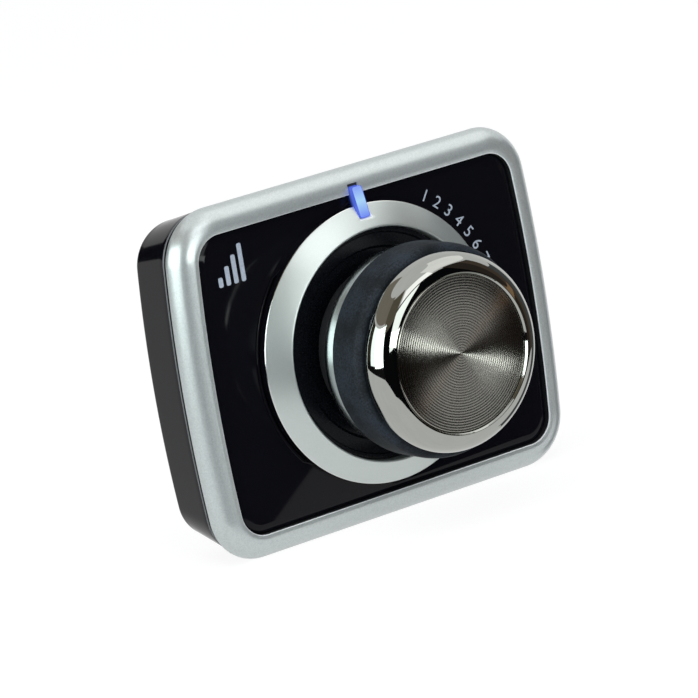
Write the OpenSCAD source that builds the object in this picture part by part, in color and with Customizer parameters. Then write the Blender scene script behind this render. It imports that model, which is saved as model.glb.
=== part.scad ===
// Panel volume controller with an endless push-and-turn knob.
// Every piece is drawn in the panel's own frame: x to the right, y up, z out of the panel, in millimetres,
// with z = 0 at the back of the mounting pad. upright() then stands the panel up, so that it faces -Y.

/* [Body] */
// Inside width of the bezel window at mid height
window_w = 63.6; // [56:0.2:76]
// Width of the bezel frame's face
bezel_w = 4.1; // [3.4:0.1:5]
// Radius of the bowed left and right sides
side_r = 260; // [180:2:400]
// Radius of the outline's corners
corner_r = 8.5; // [7.4:0.1:10]
// Height of the bezel's crest above the face panel
bezel_rise = 0.6; // [0.4:0.05:1]

/* [Rear shell] */
// Thickness of the foam mounting pad
pad_t = 1; // [0.6:0.1:2]
// Margin from the shell's back edge to the pad
pad_margin = 11; // [9:0.5:13]
// Wall of the rear shell
shell_wall = 1.6; // [1.2:0.1:2]
// Step from the outline in to the shell's rim
shell_inset = 0.6; // [0.4:0.05:0.9]
// Inward slope of the shell's walls, in mm per mm of depth
shell_draft = 0.06; // [0.03:0.01:0.1]
// Further slope of the shell's top and bottom, in mm per mm of depth
shell_drop = 0.15; // [0.05:0.01:0.18]
// Rounding of the shell's back edge
shell_round = 1; // [0.6:0.1:1.4]
// Open seam between the shell and the bezel
seam_gap = 1; // [0.5:0.1:1.3]
// Radius of a case screw's shank
case_screw_r = 1.2; // [1:0.05:1.4]
// Distance of the case screws from the outline
case_screw_edge = 7.7; // [7.2:0.1:8.4]

/* [Front] */
// Thickness of the inner chassis plate
chassis_t = 2.85; // [2.5:0.05:3.4]
// Depth of the chassis plate's pocket for the encoder
chassis_pocket = 0.95; // [0.6:0.05:1.2]
// Thickness of the gloss face panel
face_t = 1.1; // [0.9:0.05:1.5]
// Width of the face panel's rolled edge
roll_w = 1.6; // [1:0.1:2]
// Outer radius of the trim ring
ring_r = 22.6; // [20:0.1:26]
// Radial width of the trim ring
ring_band = 3.95; // [3.2:0.05:4.6]
// Height of the trim ring's outer edge above the face panel
ring_edge = 1.4; // [1:0.1:2]
// Rise of the trim ring's cone toward the knob
ring_rise = 2.3; // [1.6:0.1:3]
// Gap from the trim ring to the bezel window
ring_margin = 1.7; // [1.4:0.1:3]
// Width of the light bar
bar_w = 1.85; // [1.4:0.05:2.4]

/* [Knob] */
// Radius of the rubber grip
grip_r = 17; // [16.2:0.1:17.6]
// Length of the rubber grip
grip_h = 6.5; // [5:0.1:10]
// Wall of the rubber grip
grip_t = 2.35; // [2:0.05:2.8]
// Length of the chrome skirt
skirt_h = 6; // [4.5:0.1:7]
// Taper of the chrome skirt, from its front radius in to its back
skirt_taper = 2.5; // [1.5:0.1:3]
// Gap from the trim ring's crest to the skirt
knob_lift = 1.8; // [1.2:0.1:4]
// Step from the grip in to the cap
cap_step = 1.1; // [0.8:0.1:1.6]
// Height of the cap
cap_h = 4.5; // [3.6:0.1:5.5]
// Width of the cap's polished rim
cap_rim = 3.45; // [2.8:0.05:4.2]
// Depth of the spun disc below the cap's crest
disc_drop = 0.3; // [0.2:0.05:0.8]
// Thickness of the spun disc
disc_t = 0.6; // [0.4:0.05:1]

/* [Encoder] */
// Travel of the knob when it is pushed
push_travel = 0.5; // [0.3:0.05:0.7]
// Radius of the shaft
shaft_r = 3; // [2.8:0.05:3.1]
// Width of the encoder's base
encoder_w = 12; // [11.6:0.1:13.5]
// Radius of the threaded bushing
bushing_r = 3.5; // [3.4:0.05:4]
// Length of the threaded bushing
bushing_len = 7; // [6:0.1:7.6]
// Thickness of the encoder's metal cover
cover_t = 1.2; // [0.8:0.1:1.6]
// Thickness of the rotor's disc
rotor_t = 1.6; // [1.2:0.1:2.2]
// Width of the nut across its flats
nut_af = 10; // [9.4:0.2:11]
// Thickness of the nut
nut_t = 2; // [1.5:0.1:2.3]

/* [Circuit board] */
// Thickness of the circuit board
board_t = 1.2; // [1:0.1:1.6]
// Height of the board's standoffs
standoff_h = 1.2; // [1:0.1:2]
// Radius of a board screw's shank
board_screw_r = 0.95; // [0.8:0.05:1.05]
// Width of the lead socket
socket_w = 10; // [9:0.2:14]
// Depth of the lead socket
socket_d = 8; // [7.4:0.1:9.5]
// Wall of the lead socket
socket_wall = 0.5; // [0.4:0.05:0.55]

/* [Hidden] */

$fn = 96;
small_fn = 32;

// Clearances: a close seat, a running fit on the shaft, a free gap round what moves,
// the gap round a screw and the gap round the trim ring. cut carries a cutter past a face.
seat = 0.05;
running = 0.04;
free_gap = 0.3;
screw_gap = 0.2;
ring_gap = 0.15;
cut = 1;

// Colours
gloss_black = "#17181b";
matt_black = "#25272a";
satin_silver = "#c3c8c7";
bright_steel = "#b9bcc0";
brass_gold = "#c8a24a";

// Outline: two bowed sides, straight top and bottom, round corners
half_w = window_w / 2 + bezel_w;
half_h = ring_r + ring_margin + bezel_w;
side_cx = half_w - side_r;
corner_y = half_h - corner_r;
corner_x = side_cx + sqrt(pow(side_r - corner_r, 2) - pow(corner_y, 2));
side_turn = atan2(corner_y, corner_x - side_cx);
side_steps = 5;
corner_steps = 9;

// Encoder stack, upwards from the board
encoder_floor = 0.6;
dome_spare = 0.15;
dome_h = push_travel + dome_spare;
dome_t = 0.12;
plunger_h = 0.7;
rotor_clear = 0.4;
collar_t = 0.7;
switch_depth = dome_h + plunger_h + seat;
collar_room = push_travel + 2 * seat + collar_t;
encoder_h = encoder_floor + switch_depth + rotor_clear + rotor_t + collar_room + cover_t;
shell_depth = shell_wall + standoff_h + board_t + encoder_h - chassis_pocket;

// Levels along the panel's axis
z_back = pad_t;
z_floor = z_back + shell_wall;
z_board = z_floor + standoff_h;
z_board_top = z_board + board_t;
z_rim = z_back + shell_depth;
z_bezel = z_rim + seam_gap;
z_chassis = z_rim + chassis_t;
z_face = z_chassis + face_t;
z_crest = z_face + bezel_rise;
window_dip = 0.1;
z_window = z_crest - window_dip;
z_ring_edge = z_face + ring_edge;
z_ring_top = z_ring_edge + ring_rise;
z_switch = z_board_top + encoder_floor;
z_rotor_floor = z_switch + switch_depth;
z_rotor = z_rotor_floor + rotor_clear;
z_rotor_top = z_rotor + rotor_t;
z_mount = z_rim + chassis_pocket;
z_cover = z_mount - cover_t;
z_collar = z_cover - seat - collar_t;
z_bush_top = z_mount + bushing_len;
z_skirt = z_ring_top + knob_lift;
z_grip = z_skirt + skirt_h;
z_grip_top = z_grip + grip_h;
cap_gap = 0.3;
z_cap = z_grip_top + cap_gap;
z_cap_top = z_cap + cap_h;
z_disc_top = z_cap_top - disc_drop;
z_disc = z_disc_top - disc_t;

// Case screws and their bosses
case_x = half_w - case_screw_edge;
case_y = half_h - case_screw_edge;
case_head_r = case_screw_r + 1;
case_head_h = 1.5;
case_seat_t = 1.8;
case_recess = case_head_h + free_gap;
case_boss_r = case_head_r + 0.9;
z_case_head = z_back + case_recess;
z_case_boss = z_case_head + case_seat_t;
case_thread = 5;

// Circuit board
board_x = case_x - case_boss_r - free_gap;
led_y = ring_r + 0.4;
led_size = [3.2, 1.6, 1.2];
board_y = led_y + led_size.y / 2 + 0.4;
board_edge_x = 4;
board_edge_y = 6;
board_screw_x = board_x - board_edge_x;
board_screw_y = board_y - board_edge_y;
board_head_r = board_screw_r + 0.95;
board_head_h = 1.2;
standoff_r = board_screw_r + 1.25;
board_thread = standoff_h + shell_wall - 0.6;

// Parts on the board
chip_w = 7;
chip_h = 1;
chip_lift = 0.1;
chip_shift = 2;
chip_x = -board_x / 2 - chip_shift;
chip_y = 4;
lead_pitch = 0.8;
lead_w = 0.35;
lead_len = 0.9;
lead_t = 0.2;
capacitor_r = 2;
capacitor_shift = 3;
capacitor_x = board_x / 2 + capacitor_shift;
capacitor_y = 2;
capacitor_pitch = 7;
resistor_w = 2;
resistor_d = 1.2;
resistor_h = 0.6;
resistor_shift = 2;
resistor_x = board_x / 2 + resistor_shift;
resistor_y = -4;
resistor_pitch = 2.4;

// Front openings
chassis_inset = shell_inset + 0.4;
panel_inset = bezel_w + seat;
ring_in_r = ring_r - ring_band;
well_r = ring_in_r - ring_gap;
well_hole_r = nut_af / 2 / cos(30) + 0.8;
well_floor_t = 1;
well_step_t = 2.2;
lip_r = ring_r + 0.55;
lip_w = 0.36;
lip_h = 0.25;

// Light bar
bar_gap = 0.1;
bar_reach_in = 1.95;
bar_reach_out = 1.6;
bar_y0 = ring_r - bar_reach_in;
bar_y1 = ring_r + ring_margin + bar_reach_out;
bar_proud = 0.2;
bar_lift = 0.8;
bar_seat_z = z_face + 0.1;
stem_y0 = led_y - 1.1;
stem_y1 = led_y + 1.1;
bar_z0 = z_ring_edge + ring_rise * bar_reach_in / ring_band + bar_proud;
bar_z1 = z_crest + bar_lift;
bar_round = 0.25;

// Lead socket in the bottom wall
socket_h = z_rim - z_board_top - 0.1;
socket_front = half_h - shell_inset - (shell_draft + shell_drop) * (z_rim - z_board_top) - 0.3;
socket_back_t = 1.2;
contact_n = 6;
contact_t = 0.2;
contact_w = 0.6;
contact_pitch = (socket_w - 2 * socket_wall - 1) / contact_n;

// Knob
core_r = grip_r - grip_t;
skirt_r = grip_r - 0.2;
skirt_back_r = skirt_r - skirt_taper;
barrel_r = skirt_back_r - 1.2;
core_clear = 0.9;
core_wall = 2;
core_web = 2.5;
z_well_step = z_chassis + well_step_t;
z_core = z_well_step + push_travel + core_clear;
z_core_top = z_cap;
z_hub = z_bush_top + push_travel + 0.4;
hub_r = shaft_r + 2.6;
spigot_r = 9;
spigot_h = 1.4;
cap_r = grip_r - cap_step;
disc_r = cap_r - cap_rim;
shaft_flat = shaft_r / 2;
clip_t = 0.4;
z_shaft_top = z_core_top - 1;
z_flat = z_hub;
stem_r = shaft_r - 1;
stem_flat = stem_r * 0.7;
collar_over = 0.5;
collar_r = shaft_r + collar_over;
z_shaft_end = z_rotor_floor + seat;

// Encoder inside
rotor_room_r = encoder_w / 2 - 0.5;
rotor_r = rotor_room_r - free_gap;
switch_room_r = 2.6;
plunger_r = 2;
z_plunger = z_switch + dome_h;
pin_size = [0.6, 0.3];
pin_row = encoder_w / 2 - 1;
pin_pitch = 2.5;
pin_len = board_t + 0.8;
pin_hole_r = 0.5;
tab_t = 0.8;
tab_w = 2.4;
washer_t = 0.5;

// A quarter of the outline, set in by d: the bowed side up from mid height, then the corner's arc
function quarter(d) = concat(
  [for (i = [0:side_steps])
    let (a = side_turn * i / side_steps)
    [side_cx + (side_r - d) * cos(a), (side_r - d) * sin(a)]],
  [for (i = [1:corner_steps])
    let (a = side_turn + (90 - side_turn) * i / corner_steps)
    [corner_x + (corner_r - d) * cos(a), corner_y + (corner_r - d) * sin(a)]]);

// The whole outline set in by d, anticlockwise, with each quarter mirrored from the first.
// Its top and bottom come in further by drop, and the outline narrows evenly in height.
function outline(d, drop = 0) =
  let (
    lower = 1 - drop / (half_h - d),
    q = [for (p = quarter(d)) [p.x, p.y * lower]],
    n = len(q) - 1)
  concat(
    q,
    [for (i = [n:-1:0]) [-q[i].x, q[i].y]],
    [for (i = [1:n]) [-q[i].x, -q[i].y]],
    [for (i = [n:-1:1]) [q[i].x, -q[i].y]]);

// Triangles of the wall between outline k and outline m of n points each
function wall_faces(k, m, n) =
  [for (j = [0:n - 1])
    let (a = k * n + j, b = k * n + (j + 1) % n, c = m * n + (j + 1) % n, e = m * n + j)
    each [[a, e, c], [a, c, b]]];

// A solid through outlines stacked upwards, each level given as [inset, z, drop]
module outline_stack(levels) {
  n = len(outline(0));
  top = len(levels) - 1;
  points = [for (l = levels) each [for (p = outline(l[0], l[2])) [p.x, p.y, l[1]]]];
  walls = [for (k = [0:top - 1]) each wall_faces(k, k + 1, n)];
  base = [[for (j = [0:n - 1]) j]];
  lid = [[for (j = [n - 1:-1:0]) top * n + j]];
  polyhedron(points = points, faces = concat(base, walls, lid));
}

// A closed frame whose section, a loop of [inset, z], runs round the outline
module outline_frame(section) {
  n = len(outline(0));
  last = len(section) - 1;
  points = [for (l = section) each [for (p = outline(l[0])) [p.x, p.y, l[1]]]];
  faces = [for (k = [0:last]) each wall_faces(k, k == last ? 0 : k + 1, n)];
  polyhedron(points = points, faces = faces);
}

// Stands a piece drawn in the panel's frame upright, facing -Y
module upright() {
  rotate([90, 0, 0]) children();
}

// A bar along z of the given radius, from z0 to z1
module rod(r, z0, z1) {
  translate([0, 0, z0]) cylinder(r = r, h = z1 - z0);
}

// A box centred on x and y, from z0 to z1
module block(size, z0, z1) {
  translate([-size.x / 2, -size.y / 2, z0]) cube([size.x, size.y, z1 - z0]);
}

// Copies of a piece at four places mirrored across both axes
module four(x, y) {
  for (i = [-1, 1], j = [-1, 1]) translate([i * x, j * y, 0]) children();
}

// A round bar with one flat on its +y side
module flatted_bar(r, flat, z0, z1) {
  intersection() {
    rod(r, z0, z1);
    translate([-2 * r, flat - 4 * r, z0 - cut]) cube([4 * r, 4 * r, z1 - z0 + 2 * cut]);
  }
}

// The slot that the light bar and its stem pass through, from y0 to y1
module bar_slot(y0, y1, z0, z1) {
  translate([-bar_w / 2 - bar_gap, y0, z0]) cube([bar_w + 2 * bar_gap, y1 - y0, z1 - z0]);
}

module mounting_pad() {
  pad_inset = shell_inset + shell_draft * shell_depth + pad_margin;
  color("#2a2a2c") upright()
    linear_extrude(pad_t)
      offset(r = corner_r - pad_margin / 2)
        square([2 * (half_w - pad_inset), 2 * (half_h - pad_inset)], center = true);
}

module rear_shell() {
  socket_cut = 2 * (half_h - socket_front + shell_wall + 2);
  back_inset = shell_inset + shell_draft * shell_depth;
  back_drop = shell_drop * shell_depth;
  floor_drop = shell_drop * (shell_depth - shell_wall);
  arc = [for (a = [0:15:90])
    [back_inset + shell_round * (1 - sin(a)), z_back + shell_round * (1 - cos(a)), back_drop]];
  rim_round = 0.4;
  rim = [for (a = [0:22.5:90])
    [shell_inset + rim_round * (1 - cos(a)), z_rim - rim_round * (1 - sin(a)), 0]];
  inner_floor = [back_inset + shell_wall, z_floor, floor_drop];
  inner_rim = [shell_inset + shell_wall, z_rim + cut, 0];
  color(gloss_black) upright()
    difference() {
      union() {
        difference() {
          outline_stack(concat(arc, rim));
          outline_stack([inner_floor, inner_rim]);
        }
        four(case_x, case_y) rod(case_boss_r, z_floor - seat, z_case_boss);
        four(board_screw_x, board_screw_y) rod(standoff_r, z_floor - seat, z_board);
      }
      four(case_x, case_y) {
        rod(case_head_r + screw_gap, z_back - cut, z_case_head);
        rod(case_screw_r + screw_gap, z_back, z_case_boss + cut);
      }
      four(board_screw_x, board_screw_y)
        rod(board_screw_r + seat, z_board - board_thread, z_board + cut);
      translate([0, -half_h, 0])
        block([socket_w + 2 * seat, socket_cut], z_board_top - seat, z_rim + cut);
    }
}

module case_screws() {
  drive_w = 1.8;
  drive_slot = 0.5;
  drive_depth = 0.8;
  color(bright_steel) upright()
    four(case_x, case_y) {
      difference() {
        rod(case_head_r, z_case_head - case_head_h, z_case_head);
        for (turn = [0, 90])
          rotate(turn)
            block([drive_w, drive_slot], z_case_head - case_head_h - cut,
              z_case_head - case_head_h + drive_depth);
      }
      rod(case_screw_r, z_case_head, z_case_boss + case_thread);
    }
}

module circuit_board() {
  color("#1f5a3a") upright()
    difference() {
      block([2 * board_x, 2 * board_y], z_board, z_board_top);
      four(board_screw_x, board_screw_y) rod(board_screw_r + screw_gap, z_board - cut, z_board_top + cut);
      for (p = encoder_pins())
        translate([p.x, p.y, 0]) rod(pin_hole_r, z_board - cut, z_board_top + cut, $fn = small_fn);
    }
}

module board_screws() {
  slot_w = 0.5;
  slot_depth = 0.6;
  z_head = z_board_top + board_head_h;
  color(bright_steel) upright()
    four(board_screw_x, board_screw_y) {
      difference() {
        rod(board_head_r, z_board_top, z_head);
        block([2 * board_head_r + cut, slot_w], z_head - slot_depth, z_head + cut);
      }
      rod(board_screw_r, z_board - board_thread + screw_gap, z_board_top);
    }
}

module controller_chip() {
  lead_n = 8;
  color("#202224") upright()
    translate([chip_x, chip_y, 0]) {
      block([chip_w, chip_w], z_board_top + chip_lift, z_board_top + chip_lift + chip_h);
      for (turn = [0:90:270], i = [0:lead_n - 1])
        rotate(turn)
          translate([(i - (lead_n - 1) / 2) * lead_pitch, chip_w / 2 + lead_len / 2 - chip_lift, 0])
            block([lead_w, lead_len], z_board_top, z_board_top + lead_t);
    }
}

module board_capacitors() {
  can_h = encoder_h * 0.75;
  color(bright_steel) upright()
    for (i = [0, 1])
      translate([capacitor_x, capacitor_y + i * capacitor_pitch, 0])
        rod(capacitor_r, z_board_top, z_board_top + can_h, $fn = small_fn);
}

module board_resistors() {
  rows = 4;
  color("#303236") upright()
    for (i = [0:rows - 1])
      translate([resistor_x, resistor_y - i * resistor_pitch, 0])
        block([resistor_w, resistor_d], z_board_top, z_board_top + resistor_h);
}

module indicator_led() {
  color("#dfeaf2") upright()
    translate([0, led_y, 0]) block(led_size, z_board_top, z_board_top + led_size.z);
}

module lead_socket() {
  color("#e2e0d6") upright()
    difference() {
      translate([0, -socket_front + socket_d / 2, 0])
        block([socket_w, socket_d], z_board_top, z_board_top + socket_h);
      translate([0, -socket_front + (socket_d - socket_back_t) / 2 - cut / 2, 0])
        block([socket_w - 2 * socket_wall, socket_d - socket_back_t + cut],
          z_board_top + socket_wall, z_board_top + socket_h - socket_wall);
    }
}

module socket_contacts() {
  length = socket_d - socket_back_t - 2;
  y_mid = -socket_front + socket_d - socket_back_t - length / 2;
  color(brass_gold) upright()
    for (i = [0:contact_n - 1])
      translate([(i - (contact_n - 1) / 2) * contact_pitch, y_mid, 0])
        block([contact_w, length], z_board_top + socket_wall, z_board_top + socket_wall + contact_t);
}

module front_chassis() {
  color(matt_black) upright()
    difference() {
      union() {
        translate([0, 0, z_rim]) linear_extrude(chassis_t) polygon(outline(chassis_inset));
        four(case_x, case_y) rod(case_boss_r - free_gap, z_case_boss, z_rim + seat);
      }
      block([encoder_w + 2 * tab_t + 2 * bar_gap, encoder_w + 2 * bar_gap], z_rim - cut, z_mount);
      rod(bushing_r + seat, z_rim - cut, z_chassis + cut);
      four(case_x, case_y) rod(case_screw_r + seat, z_case_boss - cut, z_case_boss + case_thread + free_gap);
      bar_slot(stem_y0 - bar_gap, stem_y1 + bar_gap, z_rim - cut, z_chassis + cut);
    }
}

module bezel_frame() {
  crest_in = bezel_w * 0.85;
  edge_round = 0.35;
  z_flank = z_bezel + edge_round;
  fullness = 1.8;
  bend = 2 / fullness;
  flank = [for (a = [0:9:90])
    [crest_in * (1 - pow(cos(a), bend)), z_flank + (z_crest - z_flank) * pow(sin(a), bend)]];
  inner = [for (a = [30:30:90])
    [crest_in + (bezel_w - crest_in) * sin(a), z_window + (z_crest - z_window) * cos(a)]];
  under = [[bezel_w, z_chassis], [chassis_inset - seat, z_chassis], [chassis_inset - seat, z_bezel]];
  edge = [[edge_round, z_bezel], [edge_round * 0.3, z_bezel + edge_round * 0.3]];
  color(satin_silver) upright()
    difference() {
      outline_frame(concat(flank, inner, under, edge));
      bar_slot(half_h - bezel_w - cut, bar_y1 + bar_gap, bar_seat_z, z_crest + cut);
    }
}

module face_panel() {
  roll_h = face_t * 0.6;
  roll = [for (a = [0:15:90])
    [panel_inset + roll_w * (1 - cos(a)), z_face - roll_h * (1 - sin(a)), 0]];
  color(gloss_black) upright()
    difference() {
      union() {
        outline_stack(concat([[panel_inset, z_chassis, 0]], roll));
        rotate_extrude()
          translate([lip_r - lip_w / 2, z_face - face_t / 2]) square([lip_w, face_t / 2 + lip_h]);
      }
      rod(ring_r + ring_gap, z_chassis - cut, z_face + cut);
      bar_slot(ring_r - cut, half_h, z_chassis - cut, z_face + lip_h + cut);
    }
}

module dial_well() {
  z_low = z_chassis + well_floor_t;
  step_r = barrel_r - core_wall - 1;
  rim_in = barrel_r + 2.1;
  z_rim_in = z_well_step + 0.5;
  z_lip = z_rim_in + 0.5;
  color(gloss_black) upright()
    rotate_extrude()
      polygon([
        [well_hole_r, z_chassis], [well_r, z_chassis], [well_r, z_lip], [well_r - 0.7, z_lip],
        [well_r - 0.9, z_rim_in], [rim_in + 0.3, z_rim_in], [rim_in, z_well_step], [step_r, z_well_step],
        [step_r - 0.4, z_low], [well_hole_r, z_low]
      ]);
}

module trim_ring() {
  edge = 0.25;
  outer_cut = 0.12;
  color(satin_silver) upright()
    difference() {
      rotate_extrude()
        polygon([
          [ring_in_r, z_chassis], [ring_r, z_chassis], [ring_r, z_ring_edge - outer_cut],
          [ring_r - outer_cut, z_ring_edge], [ring_in_r + 2 * edge, z_ring_top],
          [ring_in_r + edge, z_ring_top], [ring_in_r, z_ring_top - edge]
        ]);
      bar_slot(bar_y0 - bar_gap, ring_r + cut, bar_seat_z, z_ring_top + cut);
      bar_slot(stem_y0 - bar_gap, ring_r + cut, z_chassis - cut, z_ring_top);
    }
}

module light_pipe() {
  z_stem = z_board_top + led_size.z + bar_gap;
  color("#7fa8f4") upright()
    translate([-bar_w / 2, 0, 0])
      rotate([90, 0, 90])
        linear_extrude(bar_w)
          polygon([
            [stem_y0, z_stem], [stem_y1, z_stem], [stem_y1, bar_seat_z], [bar_y1, bar_seat_z],
            [bar_y1, bar_z1 - bar_round], [bar_y1 - bar_round, bar_z1], [bar_y0 + bar_round, bar_z0],
            [bar_y0, bar_z0 - bar_round], [bar_y0, bar_seat_z], [stem_y0, bar_seat_z]
          ]);
}

// Places of the encoder's pins: three for the turn, two for the switch
function encoder_pins() = concat(
  [for (i = [-1:1]) [i * pin_pitch, -pin_row]],
  [for (i = [-1, 1]) [i * pin_pitch, pin_row]]);

module encoder_base() {
  color(matt_black) upright()
    difference() {
      block([encoder_w, encoder_w], z_board_top, z_cover);
      rod(rotor_room_r, z_rotor_floor, z_cover + cut);
      rod(switch_room_r, z_switch, z_cover);
    }
}

module encoder_terminals() {
  color(bright_steel) upright()
    for (p = encoder_pins())
      translate([p.x, p.y, 0]) block(pin_size, z_board_top - pin_len, z_board_top);
}

module encoder_bushing() {
  color(bright_steel) upright()
    difference() {
      union() {
        block([encoder_w + 2 * tab_t, encoder_w], z_cover, z_mount);
        rod(bushing_r, z_mount - seat, z_bush_top);
        for (side = [-1, 1])
          translate([side * (encoder_w + tab_t) / 2, 0, 0])
            block([tab_t, tab_w], z_board_top, z_cover + seat);
      }
      rod(shaft_r + running, z_cover - cut, z_bush_top + cut);
    }
}

module contact_brush() {
  brush_t = 0.15;
  color(brass_gold) upright()
    translate([0, 0, z_rotor_floor])
      rotate_extrude(angle = 200)
        translate([switch_room_r + 0.5, 0]) square([rotor_room_r - switch_room_r - 1, brush_t]);
}

module detent_spring() {
  spring_t = 0.2;
  spring_in = collar_r + free_gap;
  spring_out = rotor_room_r - bar_gap;
  color(bright_steel) upright()
    translate([0, 0, z_cover - spring_t])
      rotate_extrude(angle = 330)
        translate([spring_in, 0]) square([spring_out - spring_in, spring_t]);
}

module encoder_washer() {
  color(bright_steel) upright()
    difference() {
      rod(nut_af / 2 + 0.5, z_chassis, z_chassis + washer_t);
      rod(bushing_r + seat, z_chassis - cut, z_chassis + washer_t + cut);
    }
}

module encoder_nut() {
  color(bright_steel) upright()
    difference() {
      translate([0, 0, z_chassis + washer_t]) cylinder(r = nut_af / 2 / cos(30), h = nut_t, $fn = 6);
      rod(bushing_r + seat, z_chassis, z_chassis + washer_t + nut_t + cut);
    }
}

module encoder_rotor() {
  rim_in = collar_r + 0.5;
  rim_clear = 0.5;
  z_rim_top = z_cover - rim_clear;
  color("#e6e2d8") upright()
    difference() {
      rod(rotor_r, z_rotor, z_rim_top);
      rod(rim_in, z_rotor_top, z_rim_top + cut);
      flatted_bar(stem_r + running, stem_flat + running, z_rotor - cut, z_rotor_top + cut);
    }
}

module switch_plunger() {
  color("#8a3a34") upright() rod(plunger_r, z_plunger, z_plunger + plunger_h);
}

module switch_dome() {
  dome_r = switch_room_r - 0.2;
  steps = 8;
  crown = dome_h - dome_t;
  arc = [for (i = [0:steps]) [dome_r * i / steps, crown * (1 - pow(i / steps, 2))]];
  color(bright_steel) upright()
    translate([0, 0, z_switch])
      rotate_extrude()
        polygon(concat(
          [for (i = [0:steps]) [arc[i].x, arc[i].y]],
          [for (i = [steps:-1:0]) [arc[i].x, arc[i].y + dome_t]]));
}

module knob_shaft() {
  color(bright_steel) upright() {
    flatted_bar(stem_r, stem_flat, z_shaft_end, z_collar + seat);
    rod(collar_r, z_collar, z_collar + collar_t);
    rod(shaft_r, z_collar + collar_t - seat, z_flat);
    flatted_bar(shaft_r, shaft_flat, z_flat - seat, z_shaft_top);
  }
}

module shaft_clip() {
  clip_w = shaft_r * 1.4;
  color(bright_steel) upright()
    translate([0, shaft_flat + clip_t / 2 + seat / 2, 0])
      block([clip_w, clip_t], z_hub + 0.5, z_shaft_top);
}

module knob_core() {
  web = z_core_top - core_web;
  barrel_in = barrel_r - core_wall;
  color(matt_black) upright()
    difference() {
      rotate_extrude()
        polygon([
          [0, z_hub], [hub_r, z_hub], [hub_r, web], [barrel_in, web], [barrel_in, z_core],
          [barrel_r, z_core], [barrel_r, z_grip], [core_r, z_grip], [core_r, z_core_top],
          [spigot_r, z_core_top], [spigot_r, z_core_top + spigot_h], [0, z_core_top + spigot_h]
        ]);
      flatted_bar(shaft_r + running, shaft_flat + clip_t + seat, z_hub - cut, z_shaft_top + seat);
    }
}

module knob_skirt() {
  edge = 0.4;
  band_taper = 0.27;
  roll_h = (skirt_h - edge) * 0.6;
  roll_w = skirt_taper - band_taper;
  roll = [for (t = [0:0.125:1])
    [skirt_back_r + roll_w * (1 - pow(1 - t, 1.25)), z_skirt + edge + roll_h * t]];
  color("#c9ccce") upright()
    rotate_extrude()
      polygon(concat(
        [[barrel_r + seat, z_grip], [barrel_r + seat, z_skirt], [skirt_back_r - edge, z_skirt]],
        roll, [[skirt_r, z_grip]]));
}

module grip_sleeve() {
  edge = 0.9;
  color("#2b3038") upright()
    rotate_extrude()
      polygon(concat(
        [[core_r + seat, z_grip_top], [core_r + seat, z_grip], [skirt_r, z_grip], [grip_r, z_grip + 0.2]],
        [for (a = [0:15:90]) [grip_r - edge * (1 - cos(a)), z_grip_top - edge * (1 - sin(a))]]));
}

module knob_cap() {
  crest_r = disc_r + 0.3;
  wall_h = 0.8;
  foot_w = 0.45;
  foot_h = 0.55;
  z_wall = z_cap + wall_h;
  seat_r = disc_r + seat;
  foot = [for (a = [0:22.5:90]) [cap_r - foot_w * (1 - sin(a)), z_cap + foot_h * (1 - cos(a))]];
  dish = [[disc_r + 0.15, z_disc_top + 0.1], [seat_r, z_disc_top], [seat_r, z_disc], [0, z_disc]];
  shoulder = [for (a = [0:11.25:90])
    [crest_r + (cap_r - crest_r) * cos(a), z_wall + (z_cap_top - z_wall) * sin(a)]];
  color("#5d5c5e") upright()
    difference() {
      rotate_extrude()
        polygon(concat([[0, z_cap]], foot, shoulder, dish));
      rod(spigot_r + seat, z_cap - cut, z_cap + spigot_h + seat);
    }
}

module spun_disc() {
  bevel = 0.2;
  color("#4a484a") upright()
    rotate_extrude()
      polygon([
        [0, z_disc], [disc_r, z_disc], [disc_r, z_disc_top - bevel],
        [disc_r - bevel, z_disc_top], [0, z_disc_top]
      ]);
}

mounting_pad();
rear_shell();
case_screws();
circuit_board();
board_screws();
controller_chip();
board_capacitors();
board_resistors();
indicator_led();
lead_socket();
socket_contacts();
front_chassis();
bezel_frame();
face_panel();
dial_well();
trim_ring();
light_pipe();
encoder_base();
encoder_terminals();
encoder_bushing();
contact_brush();
detent_spring();
encoder_washer();
encoder_nut();
encoder_rotor();
switch_plunger();
switch_dome();
knob_shaft();
shaft_clip();
knob_core();
knob_skirt();
grip_sleeve();
knob_cap();
spun_disc();
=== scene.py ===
from math import pi, radians

import bmesh
import bpy
import numpy as np
from mathutils import Matrix, Vector


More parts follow.
